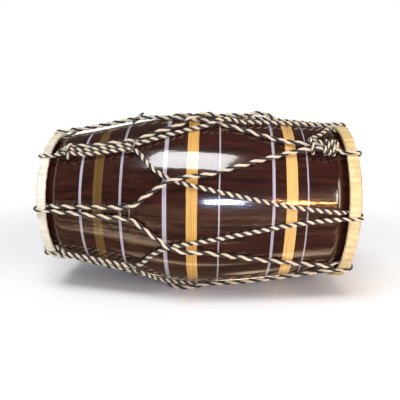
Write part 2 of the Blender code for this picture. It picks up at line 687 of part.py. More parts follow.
def main():
    for piece in list(bpy.data.objects):
        bpy.data.objects.remove(piece, do_unlink=True)
    lacquer = material("lacquered_wood", (0.060, 0.016, 0.012), 0.0, 0.12)
    pale_hide = material("pale_rawhide", (0.72, 0.66, 0.50), 0.0, 0.60)
    tan_hide = material("tan_rawhide", (0.68, 0.47, 0.21), 0.0, 0.55)
    cane = material("split_cane", (0.50, 0.33, 0.15), 0.0, 0.60)
    paste = material("dried_paste", (0.030, 0.025, 0.022), 0.0, 0.90)
    cotton = material("twisted_cotton", (0.70, 0.62, 0.50), 0.0, 0.85)
    steel = material("plated_steel", (0.55, 0.54, 0.52), 1.0, 0.30)

    turned_piece("shell", shell_outline(), lacquer)
    treble_angles = wrapped_angles([], [k * STEP_DEG for k in range(APEXES)], [])
    bass_angles = wrapped_angles([(93.2, 96.4), (138.2, 141.4)], [k * STEP_DEG for k in (0, 1, 4, 5, 6, 7)],
                                 [(87.0, 83.8), (132.0, 128.8)])
    drawn_skin("treble_skin", TREBLE, pale_hide, treble_angles)
    drawn_skin("bass_skin", BASS, tan_hide, bass_angles)
    turned_piece("treble_hoop", hoop_outline(TREBLE), cane)
    turned_piece("bass_hoop", hoop_outline(BASS), cane)
    turned_piece("bass_tuning_paste", paste_outline(), paste)
    tuning_rings(steel)
    ropes = (tight_rope(), loose_rope())
    rope_object("lacing_rope_tight", ropes[0], cotton)
    rope_object("lacing_rope_loose", ropes[1], cotton)
    least, _ = least_gap(ropes)
    print(f"least gap of the ropes to themselves and each other {least * 1000:.2f} mm")


main()
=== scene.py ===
"""Dholak: the looks of a barrel drum with two rawhide heads, rope lacing and steel tuning rings."""
import math

import bmesh
import bpy
import numpy as np
from mathutils import Matrix, Vector


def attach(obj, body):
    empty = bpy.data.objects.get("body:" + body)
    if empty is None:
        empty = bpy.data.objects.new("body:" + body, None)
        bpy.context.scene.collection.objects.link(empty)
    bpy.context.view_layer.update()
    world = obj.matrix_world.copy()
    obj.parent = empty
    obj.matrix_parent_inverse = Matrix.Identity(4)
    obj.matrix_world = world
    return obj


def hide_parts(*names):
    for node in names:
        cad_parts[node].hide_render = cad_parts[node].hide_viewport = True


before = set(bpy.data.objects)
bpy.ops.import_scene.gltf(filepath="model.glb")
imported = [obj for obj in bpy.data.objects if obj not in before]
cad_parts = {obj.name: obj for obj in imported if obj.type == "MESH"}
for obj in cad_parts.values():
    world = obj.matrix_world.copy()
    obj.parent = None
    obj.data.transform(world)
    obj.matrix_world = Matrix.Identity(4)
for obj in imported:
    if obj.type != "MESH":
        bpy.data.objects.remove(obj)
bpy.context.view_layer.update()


# The shell is mango wood, turned hollow, with a neck at each end for the head's hoop to slip over.
# It is stained dark red-brown, gold bands and lavender-grey lines are painted round it by hand as
# it spins, and clear lacquer is sprayed over the paint.
HEAD_TO_HEAD = 0.470
LINE_END_X = 0.231
TREBLE_LINE_R = 0.0982
TREBLE_LINE_SLOPE = 0.112
BELLY_X = 0.0085
BELLY_R = 0.1355
BASS_LINE_R = 0.1181
BASS_LINE_SLOPE = -0.026
WALL = 0.012
NECK_WALL = 0.0045
SHOULDER_LENGTH = 0.012
SHELL_STEPS = 90
BORE_STEPS = 24
SHELL_SEGMENTS = 224

# Height of the barrel's axis above the ground, on which the lowest rope crossings rest
AXIS_HEIGHT = 0.1404

# Each neck leaves room for a hoop with hide lapped round it, and for the rope that goes under it
SKIN = 0.0012
COLLAR_SETBACK = 0.004
HOOP_THICKNESS = 0.003
TREBLE_COLLAR_R = 0.1045
TREBLE_HOOP_WIDTH = 0.0090
BASS_COLLAR_R = 0.1215
BASS_HOOP_WIDTH = 0.0125
ROPE_AT_HOOP_R = 0.0028
LIP_TO_ROPE_EXIT = 0.0015
LIP_TO_NECK = 0.003

# Clearances: between hard neighbours, between the rope and a hoop, and under a rope that lies
GAP = 0.0003
ROPE_GAP = 0.00055
LIE_GAP = 0.0006

FACE_X = HEAD_TO_HEAD / 2
SHELL_END_X = FACE_X - SKIN - GAP
COLLAR_FRONT_X = FACE_X - COLLAR_SETBACK


class Head:
    """Radii and places of one head's collar, hoop and neck, all on its own side of the barrel."""

    def __init__(self, side, collar_r, hoop_width):
        self.side = side
        self.collar_r = collar_r
        self.hoop_out_r = collar_r - SKIN - GAP
        self.hoop_in_r = self.hoop_out_r - HOOP_THICKNESS
        self.under_r = self.hoop_in_r - ROPE_GAP - ROPE_AT_HOOP_R
        self.over_r = collar_r + ROPE_GAP + ROPE_AT_HOOP_R
        self.neck_r = self.under_r - ROPE_AT_HOOP_R - LIE_GAP
        self.hoop_front_x = COLLAR_FRONT_X - SKIN - GAP
        self.hoop_back_x = self.hoop_front_x - hoop_width
        self.lip_x = self.hoop_back_x - GAP - SKIN
        self.exit_x = self.lip_x - LIP_TO_ROPE_EXIT
        self.neck_x = self.lip_x - LIP_TO_NECK


TREBLE = Head(-1, TREBLE_COLLAR_R, TREBLE_HOOP_WIDTH)
BASS = Head(1, BASS_COLLAR_R, BASS_HOOP_WIDTH)


def cubic(x, x0, r0, s0, x1, r1, s1):
    """Value at x of the cubic with the given values and slopes at x0 and x1."""
    h = x1 - x0
    t = (x - x0) / h
    start = (2 * t ** 3 - 3 * t ** 2 + 1) * r0 + (t ** 3 - 2 * t ** 2 + t) * h * s0
    end = (3 * t ** 2 - 2 * t ** 3) * r1 + (t ** 3 - t ** 2) * h * s1
    return start + end


def barrel_line(x):
    """Radius of the barrel's smooth outer line."""
    if x < BELLY_X:
        return cubic(x, -LINE_END_X, TREBLE_LINE_R, TREBLE_LINE_SLOPE, BELLY_X, BELLY_R, 0.0)
    return cubic(x, BELLY_X, BELLY_R, 0.0, LINE_END_X, BASS_LINE_R, BASS_LINE_SLOPE)


def shell_outside(x):
    """Radius of the shell's outside: the barrel line, drawn in to a neck under each collar."""
    head = TREBLE if x < 0 else BASS
    away = (head.neck_x - abs(x)) / SHOULDER_LENGTH
    if away >= 1:
        return barrel_line(x)
    t = max(away, 0.0)
    ease = t * t * (3 - 2 * t)
    foot = barrel_line(head.side * (head.neck_x - SHOULDER_LENGTH))
    return head.neck_r + (foot - head.neck_r) * ease


def bore_line(x):
    """Radius of the bore: a wall's depth inside the belly, and a thinner wall inside each neck."""
    if x < BELLY_X:
        end = TREBLE.neck_r - NECK_WALL
        return cubic(x, -SHELL_END_X, end, TREBLE_LINE_SLOPE, BELLY_X, BELLY_R - WALL, 0.0)
    end = BASS.neck_r - NECK_WALL
    return cubic(x, BELLY_X, BELLY_R - WALL, 0.0, SHELL_END_X, end, BASS_LINE_SLOPE)


def outward(degrees):
    """Direction straight out from the barrel's axis at an angle round it."""
    a = math.radians(degrees)
    return Vector((0.0, -math.cos(a), math.sin(a)))


def place(x, radius, degrees):
    """Point at a place along the barrel, a radius and an angle round it."""
    return Vector((x, 0.0, AXIS_HEIGHT)) + outward(degrees) * float(radius)


# An edge that turns further than this stays crisp on a turned piece
SHARP_DEG = 42


def lathe(name, outline, finish, segments, swell=None):
    """A smooth piece turned on the drum's axis; swell moves a point's radius by angle."""
    bm = bmesh.new()
    loops = []
    for index, (x, radius) in enumerate(outline):
        if radius <= 0:
            loops.append([bm.verts.new((x, 0.0, AXIS_HEIGHT))])
            continue
        loop = []
        for i in range(segments):
            degrees = 360.0 * i / segments
            extra = swell(index, degrees) if swell else 0.0
            loop.append(bm.verts.new(place(x, radius + extra, degrees)))
        loops.append(loop)
    for here, after in zip(loops, loops[1:] + loops[:1]):
        if len(here) == 1 and len(after) == 1:
            continue
        for i in range(segments):
            j = (i + 1) % segments
            near_side = [here[i % len(here)], here[j % len(here)]]
            far_side = [after[j % len(after)], after[i % len(after)]]
            bm.faces.new(list(dict.fromkeys(near_side + far_side)))
    bmesh.ops.recalc_face_normals(bm, faces=bm.faces)
    mesh = bpy.data.meshes.new(name)
    bm.to_mesh(mesh)
    bm.free()
    mesh.shade_smooth()
    mesh.set_sharp_from_angle(angle=math.radians(SHARP_DEG))
    mesh.materials.append(finish)
    piece = bpy.data.objects.new(name, mesh)
    bpy.context.scene.collection.objects.link(piece)
    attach(piece, "drum")
    return piece


def linear(code):
    """Linear colour of an sRGB hex value."""
    parts = [int(code[i:i + 2], 16) / 255 for i in (1, 3, 5)]
    return tuple(p / 12.92 if p <= 0.04045 else ((p + 0.055) / 1.055) ** 2.4 for p in parts) + (1.0,)


def node(tree, kind, links=None, **settings):
    """Add a shader node, with its settings and the sockets or values that go into its inputs."""
    made = tree.nodes.new(kind)
    for name, value in settings.items():
        setattr(made, name, value)
    for name, value in (links or {}).items():
        if isinstance(value, bpy.types.NodeSocket):
            tree.links.new(value, made.inputs[name])
        else:
            made.inputs[name].default_value = value
    return made


def new_material(name, **values):
    """A Principled material, its tree and its shader, with constants set on the shader itself."""
    made = bpy.data.materials.new(name)
    made.use_nodes = True
    shader = made.node_tree.nodes["Principled BSDF"]
    for key, value in values.items():
        shader.inputs[key.replace("_", " ")].default_value = value
    return made, made.node_tree, shader


def per_metre(*millimetres):
    """Scales of a pattern along the axes, from the real sizes of its marks."""
    return tuple(1000.0 / size for size in millimetres)


def two_tones(ramp, dark, dark_at, light, light_at):
    """Set the two colours of a ramp and where each one is full."""
    for stop, colour, spot in zip(ramp.color_ramp.elements, (dark, light), (dark_at, light_at)):
        stop.color = linear(colour)
        stop.position = spot


# Widths and places along the drum of the painted lines and bands, in metres
LINE_COLOUR = "#aba4ad"
PAINT_LINES = ((-0.1675, 0.0044), (-0.1059, 0.0044), (-0.0425, 0.0052), (0.0333, 0.0032),
               (0.1086, 0.0030), (0.1566, 0.0030))
GOLD_BANDS = ((-0.148, -0.133, "#664c26"), (-0.012, 0.0022, "#cfa055"), (0.1255, 0.142, "#dcb06a"))
PAINT_SPAN = 0.5

# A hand-held brush lets the paint's edges wander by this much, over waves of this length
PAINT_WANDER = 0.0016
WANDER_MM = 45.45

# Marks in the wood and the paint, in millimetres along, across and into the drum. Real grain is
# about 1 mm wide and bristle marks are finer still. Both are drawn coarser, so that they show.
GRAIN_MM = (166.67, 6.667, 6.667)
SUNK_GRAIN_MM = (71.43, 14.286, 14.286)
BRISTLE_MM = (1.1111, 111.11, 111.11)
SUNK_DEPTH = 0.0022

# Deep gloss: a sharp reflection over a colour that is almost black in the shade
lacquered, tree, shader = new_material("lacquered_stained_mango_wood", Roughness=0.16, IOR=1.52,
                                       Coat_Weight=1.0, Coat_Roughness=0.035, Coat_IOR=1.5)
where = node(tree, "ShaderNodeTexCoord").outputs["Object"]
grain = node(tree, "ShaderNodeMapping", {"Vector": where, "Scale": per_metre(*GRAIN_MM)})
grain = node(tree, "ShaderNodeTexNoise", {"Vector": grain.outputs["Vector"], "Scale": 1.0, "Detail": 5.0})
wood = node(tree, "ShaderNodeValToRGB", {"Fac": grain.outputs["Fac"]})
two_tones(wood, "#1c0b07", 0.32, "#3d1a12", 0.70)
wander = node(tree, "ShaderNodeTexNoise", {"Vector": where, "Scale": 1000.0 / WANDER_MM, "Detail": 2.0})
shift = node(tree, "ShaderNodeMath", {0: wander.outputs["Fac"], 1: PAINT_WANDER}, operation="MULTIPLY")
x_at = node(tree, "ShaderNodeSeparateXYZ", {"Vector": where})
x_at = node(tree, "ShaderNodeMath", {0: x_at.outputs["X"], 1: shift.outputs[0]}, operation="ADD")
along_drum = node(tree, "ShaderNodeMath", {0: x_at.outputs[0], 1: 1 / PAINT_SPAN,
                                           2: 0.5 - PAINT_WANDER / 2 / PAINT_SPAN},
                  operation="MULTIPLY_ADD")
paint = node(tree, "ShaderNodeValToRGB", {"Fac": along_drum.outputs[0]})
cover = node(tree, "ShaderNodeValToRGB", {"Fac": along_drum.outputs[0]})
stripes = [(x - width / 2, x + width / 2, LINE_COLOUR) for x, width in PAINT_LINES]
stripes = sorted(stripes + list(GOLD_BANDS))
for ramp in (paint.color_ramp, cover.color_ramp):
    ramp.interpolation = "CONSTANT"
    ramp.elements[0].color = (0.0, 0.0, 0.0, 1.0)
    ramp.elements.remove(ramp.elements[1])
    for start, end, colour in stripes:
        on = ramp.elements.new(start / PAINT_SPAN + 0.5)
        on.color = linear(colour) if ramp == paint.color_ramp else (1.0, 1.0, 1.0, 1.0)
        off = ramp.elements.new(end / PAINT_SPAN + 0.5)
        off.color = (0.0, 0.0, 0.0, 1.0)
# Brush marks run round the drum, because it turned against the brush
brush = node(tree, "ShaderNodeMapping", {"Vector": where, "Scale": per_metre(*BRISTLE_MM)})
brush = node(tree, "ShaderNodeTexNoise", {"Vector": brush.outputs["Vector"], "Scale": 1.0, "Detail": 4.0})
brush = node(tree, "ShaderNodeMapRange", {"Value": brush.outputs["Fac"], "From Min": 0.3, "From Max": 0.7,
                                         "To Min": 0.62, "To Max": 1.15})
streaked = node(tree, "ShaderNodeVectorMath", {0: paint.outputs["Color"],
                                               "Scale": brush.outputs["Result"]}, operation="SCALE")
mixed = node(tree, "ShaderNodeMix", {0: cover.outputs["Color"], 6: wood.outputs["Color"],
                                     7: streaked.outputs["Vector"]}, data_type="RGBA")
tree.links.new(mixed.outputs[2], shader.inputs["Base Color"])
# The lacquer has sunk into the grain, which breaks the reflections into streaks along the drum
sunk = node(tree, "ShaderNodeMapping", {"Vector": where, "Scale": per_metre(*SUNK_GRAIN_MM)})
sunk = node(tree, "ShaderNodeTexNoise", {"Vector": sunk.outputs["Vector"], "Scale": 1.0, "Detail": 4.0})
bump = node(tree, "ShaderNodeBump", {"Height": sunk.outputs["Fac"], "Strength": 0.22,
                                     "Distance": SUNK_DEPTH})
tree.links.new(bump.outputs["Normal"], shader.inputs["Normal"])
tree.links.new(bump.outputs["Normal"], shader.inputs["Coat Normal"])

outside = [(x, shell_outside(x)) for x in np.linspace(-SHELL_END_X, SHELL_END_X, SHELL_STEPS)]
bore = [(x, bore_line(x)) for x in np.linspace(SHELL_END_X, -SHELL_END_X, BORE_STEPS)]
shell = lathe("shell_turned", outside + bore, lacquered, SHELL_SEGMENTS)
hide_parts("shell")


# Each head is goat hide, soaked, lapped round a cane hoop and drawn back by the lacing as it dried.
# The drumming face is flat and taut, and the lap behind it keeps the folds it dried with.
COLLAR_EDGE_R = 0.0015
SKIN_SEGMENTS = 576

# The face bends back this far outside the neck's edge, and the bend's outside is wider by this
BEND_GAP = 0.0006
BEND_WIDTH = 0.0003
# The cut lip of the lap stops this far short of the hoop's inner edge
LIP_GAP = 0.0004

# Folds round each collar and how deep they are. They lie unevenly, drifting to and fro by so many
# radians so many times round, and finer folds between them take a share of the depth.
TREBLE_FOLDS = 41
BASS_FOLDS = 67
FOLD_DEPTH = 0.0012
FOLD_DRIFT, DRIFTS_ROUND = 2.1, 5
FINE_FOLDS, FINE_SHARE = 2.7, 0.3
# The folds are on the outline's points from the collar's front edge to its cut lip
FOLDED_POINTS = range(5, 10)

# Marks in the hide, in millimetres. Real pores are about 0.1 mm wide and are drawn coarser.
PATCH_MM = 29.412
PLEAT_MM = (55.56, 4.762, 4.762)
PORE_MM = 1.1111
PORE_DEPTH = 0.0004


def skin_outline(head):
    """Outline of a head: the drumming face, the step back to the collar and the lap round the hoop."""
    s = head.side
    edge = COLLAR_EDGE_R
    bend_r = head.neck_r + BEND_GAP
    inside_x = FACE_X - SKIN
    inside_front = COLLAR_FRONT_X - SKIN
    inner_r = head.collar_r - SKIN
    lip_r = head.hoop_in_r + LIP_GAP
    outer = [(FACE_X, 0.0), (FACE_X, bend_r + BEND_WIDTH)]
    outer += [(COLLAR_FRONT_X, head.hoop_in_r)]
    for t in (0, 45, 90):
        a = math.radians(t)
        x = COLLAR_FRONT_X - edge + edge * math.cos(a)
        outer.append((x, head.collar_r - edge + edge * math.sin(a)))
    for t in (0, 45, 90):
        a = math.radians(t)
        x = head.lip_x + edge - edge * math.sin(a)
        outer.append((x, head.collar_r - edge + edge * math.cos(a)))
    outer.append((head.lip_x, lip_r))
    inner = [(head.lip_x + SKIN, lip_r), (head.lip_x + SKIN, inner_r)]
    inner += [(inside_front, inner_r), (inside_front, head.hoop_in_r - GAP)]
    inner += [(inside_x, bend_r), (inside_x, 0.0)]
    return [(s * x, r) for x, r in outer + inner]


def fold_round(count):
    """Dried folds, so many round the drum: inward creases on the collar's outside only."""
    def fold(index, degrees):
        if index not in FOLDED_POINTS:
            return 0.0
        a = math.radians(degrees)
        wave = math.sin(count * a + FOLD_DRIFT * math.sin(DRIFTS_ROUND * a)) * 0.5 + 0.5
        fine = math.sin(FINE_FOLDS * count * a + index) * 0.5 + 0.5
        return -FOLD_DEPTH * ((1 - FINE_SHARE) * wave ** 3 + FINE_SHARE * fine ** 2)
    return fold


def rawhide(name, light, dark):
    """Scraped, dried hide: dull, uneven in colour, with painted shade in fine pleats and with fine pores.
    """
    made, tree, shader = new_material(name, Roughness=0.58, IOR=1.5, Subsurface_Weight=0.05)
    where = node(tree, "ShaderNodeTexCoord").outputs["Object"]
    patch = node(tree, "ShaderNodeTexNoise", {"Vector": where, "Scale": 1000.0 / PATCH_MM, "Detail": 6.0})
    tone = node(tree, "ShaderNodeValToRGB", {"Fac": patch.outputs["Fac"]})
    two_tones(tone, dark, 0.34, light, 0.62)
    # Fine pleats run from the face to the lap, where the wet hide was gathered in. Their creases carry
    # painted shade: the hide's colour is darkened along them, down to 0.8 of its tone.
    pleat_shade = node(tree, "ShaderNodeMapping", {"Vector": where, "Scale": per_metre(*PLEAT_MM)})
    pleat_shade = node(tree, "ShaderNodeTexNoise", {"Vector": pleat_shade.outputs["Vector"], "Scale": 1.0,
                                              "Detail": 3.0})
    pleat_shade = node(tree, "ShaderNodeMapRange", {"Value": pleat_shade.outputs["Fac"], "From Min": 0.35,
                                             "From Max": 0.60, "To Min": 0.80, "To Max": 1.02})
    pleat_shaded = node(tree, "ShaderNodeVectorMath", {0: tone.outputs["Color"],
                                                  "Scale": pleat_shade.outputs["Result"]}, operation="SCALE")
    tree.links.new(pleat_shaded.outputs["Vector"], shader.inputs["Base Color"])
    pores = node(tree, "ShaderNodeTexNoise", {"Vector": where, "Scale": 1000.0 / PORE_MM, "Detail": 3.0})
    bump = node(tree, "ShaderNodeBump", {"Height": pores.outputs["Fac"], "Strength": 0.25,
                                         "Distance": PORE_DEPTH})
    tree.links.new(bump.outputs["Normal"], shader.inputs["Normal"])
    return made


pale_hide = rawhide("scraped_pale_goat_hide", "#e8e1cb", "#d2c8ae")
tan_hide = rawhide("scraped_tan_goat_hide", "#dfc590", "#c8a56c")
for name, cad_name, head, hide, folds in (
        ("treble_skin_lapped", "treble_skin", TREBLE, pale_hide, TREBLE_FOLDS),
        ("bass_skin_lapped", "bass_skin", BASS, tan_hide, BASS_FOLDS)):
    collar = lathe(name, skin_outline(head), hide, SKIN_SEGMENTS, swell=fold_round(folds))
    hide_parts(cad_name)


# The hoops are split cane, bent into a circle with its ends lapped and bound. The wet hide is
# rolled round them and dries hard, so they are hidden inside the collars.
def finish_solid(cad_name, finish):
    """Give a finish to a solid that stays as it is."""
    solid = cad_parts[cad_name].data
    solid.materials.clear()
    solid.materials.append(finish)


# Bare cane is the colour of straw and fairly dull
cane, _, _ = new_material("split_cane_bare", Base_Color=linear("#a98452"), Roughness=0.62)
finish_solid("treble_hoop", cane)
finish_solid("bass_hoop", cane)


# The paste is tar, clay and sand, smeared on the inside of the bass head to deepen its note. It
# dries on the hide in a round patch, near black and quite dull.
tar, _, _ = new_material("dried_tar_and_clay", Base_Color=linear("#24201d"), Roughness=0.92)
finish_solid("bass_tuning_paste", tar)


# The rings are steel wire, bent round a former, closed and plated with zinc. Each one is threaded
# on a pair of the rope's legs while the drum is laced, and slides along them to tune it.
APEXES = 8
STEP_DEG = 360.0 / APEXES
RING_WIDTH = 0.0300
RING_LENGTH = 0.0250
RING_WIRE_R = 0.0011
RING_RISE = 0.0122
RING_X = (-0.0955, -0.0930, -0.0970, -0.1010, -0.0980, -0.0950, -0.1120, -0.0915)
RING_STROKE = 0.040
RING_POINTS = 64
RING_ROUNDNESS = 4
WORN_MM = 2.5


def ring_slope(ring_x):
    """Slope of the line that a ring slides on, from its tuned place toward the treble end."""
    start = ring_x - RING_LENGTH / 2
    return (barrel_line(start) - barrel_line(start - RING_STROKE)) / RING_STROKE


# Zinc has a soft grey shine, which is worn dull in patches where the rope rubs it
steel, tree, shader = new_material("zinc_plated_steel_wire", Base_Color=linear("#9a958c"), Metallic=1.0)
where = node(tree, "ShaderNodeTexCoord").outputs["Object"]
worn = node(tree, "ShaderNodeTexNoise", {"Vector": where, "Scale": 1000.0 / WORN_MM, "Detail": 3.0})
rough = node(tree, "ShaderNodeMapRange", {"Value": worn.outputs["Fac"], "To Min": 0.18, "To Max": 0.46})
tree.links.new(rough.outputs["Result"], shader.inputs["Roughness"])

# A ring leans: its treble side lies on the shell under the legs, and its bass side goes over them
half_across = RING_WIDTH / 2 - RING_WIRE_R
half_along = RING_LENGTH / 2 - RING_WIRE_R
lift = RING_RISE / 2
level = math.sqrt(half_along ** 2 - lift ** 2)
for index, ring_x in enumerate(RING_X):
    slope = math.atan(ring_slope(ring_x))
    out = outward(index * STEP_DEG)
    along_line = Vector((math.cos(slope), 0.0, 0.0)) + out * math.sin(slope)
    lifted = Vector((-math.sin(slope), 0.0, 0.0)) + out * math.cos(slope)
    across = lifted.cross(along_line)
    middle = place(ring_x, barrel_line(ring_x), index * STEP_DEG)
    middle += lifted * (GAP + RING_WIRE_R + lift)
    curve = bpy.data.curves.new(f"tuning_ring_wire_{index + 1}", "CURVE")
    curve.dimensions = "3D"
    curve.bevel_depth = RING_WIRE_R
    curve.bevel_resolution = RING_ROUNDNESS
    spline = curve.splines.new("POLY")
    spline.points.add(RING_POINTS - 1)
    spline.use_cyclic_u = True
    spline.use_smooth = True
    for i, point in enumerate(spline.points):
        t = 2 * math.pi * i / RING_POINTS
        spot = middle + along_line * (level * math.cos(t)) + lifted * (lift * math.cos(t))
        point.co = (*(spot + across * (half_across * math.sin(t))), 1.0)
    curve.materials.append(steel)
    ring = bpy.data.objects.new(curve.name, curve)
    bpy.context.scene.collection.objects.link(ring)
    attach(ring, f"ring_{index + 1}")
    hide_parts(f"tuning_ring_{index + 1}")


# The lacing is two cotton ropes, each a thick cream strand and a thinner black one twisted together.
# They zigzag from head to head, in through the hide and back under each hoop, are pulled up hard
# and tied off. One is laid loose, with long diamonds, and the other tight, with short stripes.
ROPE_R = 0.0035
ROPE_AT_RING_R = 0.0034
ROPE_IN_TURN_R = 0.0026
CROSSING_X = -0.029
PAIR_HALF_GAP = 0.0040
LEG_AT_RING = 0.0075

# Places along the drum: behind the treble lip, and along the hitch round the pair's legs
BEHIND_LIP_X = -0.203
HITCH_OUT_X = -0.195
HITCH_MIDDLE_X = -0.190
HITCH_IN_X = -0.183
HITCH_CLEAR_X = -0.168

# Half the spread of a leg's two ends at an apex, in degrees, and how far apart they are behind it
EXIT_SWING = 1.75
SPREAD_X = -0.193
SPREAD_SWING = 2.05

# A leg comes down on the shell this far behind the place where it leaves each hoop, and it is
# squeezed thin from these places out to the hoops
TREBLE_STEP_DOWN = 0.006
BASS_STEP_DOWN = 0.0065
SQUEEZED_TREBLE_X = -0.205
SQUEEZED_BASS_X = 0.207

# A leg rises to its ring, goes through it at full height, and dips where it comes out again
RING_IN = 0.006
RING_OUT = 0.011
RING_DIP = 0.0011
RING_ROOM = 0.0003
RING_SQUEEZE = 0.020

# Heights that a leg has over its resting height where it steps up to a hoop, from under and beside
STEP_UP = 0.0012
STEP_UP_LOW = 0.0006

# The run up to a hoop's front edge, and the share of the way round at each point of a wrap
WRAP_LEAD = 0.003
WRAP_SHARE = (0.05, 0.12, 0.22, 0.36, 0.48, 0.62, 0.74)


def degrees_for(arc, radius):
    """Angle that an arc length takes at a radius."""
    return math.degrees(arc / radius)


def smooth(knots, x):
    """Smooth curve through (x, value) knots that never swings past them."""
    xs = np.array([k[0] for k in knots])
    ys = np.array([k[1] for k in knots])
    widths = np.diff(xs)
    slopes = np.diff(ys) / widths
    tangents = np.zeros(len(xs))
    tangents[0], tangents[-1] = slopes[0], slopes[-1]
    for i in range(1, len(xs) - 1):
        if slopes[i - 1] * slopes[i] > 0:
            a = 2 * widths[i] + widths[i - 1]
            b = widths[i] + 2 * widths[i - 1]
            tangents[i] = (a + b) / (a / slopes[i - 1] + b / slopes[i])
    i = int(np.clip(np.searchsorted(xs, x) - 1, 0, len(widths) - 1))
    return float(cubic(x, xs[i], ys[i], tangents[i], xs[i + 1], ys[i + 1], tangents[i + 1]))


class Rope:
    """Centre line of one rope, as (point, radius) pairs in the order that it is pulled through."""

    def __init__(self):
        self.points = []

    def add(self, x, radius_at, degrees, thickness=ROPE_R):
        self.points.append((place(x, radius_at, degrees), thickness))


# How far each leg has gone round from its treble apex, in degrees, at places along the barrel.
# The loose-laid rope crosses over the tight-laid one, and both bend where they cross.
LOOSE_SWING = ((-0.062, 12.5), (CROSSING_X, 19.8), (0.010, 22.7), (0.066, 27.5), (0.150, 36.0),
               (0.2065, 42.6))
TIGHT_SWING = ((-0.062, 17.0), (CROSSING_X, 25.2), (0.010, 29.2), (0.066, 34.0), (0.150, 40.5),
               (0.2065, 43.0))
# The leg from the top treble apex down to the bound pair, and the one that joins it there
TOP_LEG_SWING = ((-0.050, 13.5), (-0.002, 21.5), (0.047, 29.0), (0.092, 36.3), (0.135, 41.6),
                 (0.157, 43.27), (0.201, 43.2))
BOUND_LEG_SWING = ((-0.062, 12.5), (CROSSING_X, 19.8), (0.010, 22.7), (0.066, 30.0), (0.110, 37.0),
                   (0.140, 41.6), (0.157, 43.27), (0.201, 43.2))
# The tight rope's last leg lies straighter and crosses the top leg further along
LAST_LEG_SWING = ((-0.068, 3.0), (-0.020, 9.5), (0.038, 17.7), (0.094, 24.8), (0.157, 32.5),
                  (0.193, 37.5))

# Places along the bass end: the end of the bound stretch, and the foot of a leg's step up
BOUND_TO_X = 0.201
BASS_FOOT_X = 0.2035

# Heights of the rope's centre above the shell: lying on it, crossing a leg, and in a bound pair
LIE = ROPE_R + LIE_GAP
CROSS_OVER = LIE + 2 * ROPE_R + LIE_GAP
TURN_OFFSET = (ROPE_R + ROPE_IN_TURN_R + LIE_GAP) / math.cos(math.radians(22.5))
BOUND_LIE = ROPE_IN_TURN_R + LIE_GAP + TURN_OFFSET


def ring_tilt_height(across):
    """Height of the rope's centre at which it clears a ring's low side, so far from the middle."""
    half = RING_WIDTH / 2 - RING_WIRE_R
    flat = math.sqrt(1 - (across / half) ** 2)
    low = GAP + RING_WIRE_R + RING_RISE / 2 * (1 - flat)
    return low + RING_WIRE_R + GAP + ROPE_AT_RING_R


def ring_lie():
    """Height of a leg's centre above the shell over the stretch that its ring slides on."""
    drop = LEG_AT_RING ** 2 / (2 * BELLY_R)
    return ring_tilt_height(LEG_AT_RING) + drop + RING_ROOM


def stations(ring_x, extra):
    """Places along the barrel where a leg has a point: close together where it bends."""
    hoop = [-TREBLE.exit_x, -TREBLE.exit_x + TREBLE_STEP_DOWN, BEHIND_LIP_X]
    hitch = [HITCH_OUT_X, HITCH_IN_X, HITCH_CLEAR_X, -0.152]
    ring = [ring_x - 0.044, ring_x - 0.024, ring_x - 0.005, ring_x + RING_OUT, ring_x + 0.027]
    cross = [CROSSING_X + d for d in (-0.019, -0.009, 0.002, 0.015, 0.029, 0.045)]
    bass = [0.045, 0.085, 0.125, 0.160, 0.180, 0.199]
    foot = [BASS_FOOT_X, BASS.exit_x - BASS_STEP_DOWN, BASS.exit_x]
    return sorted(hoop + hitch + ring + cross + bass + foot + list(extra))


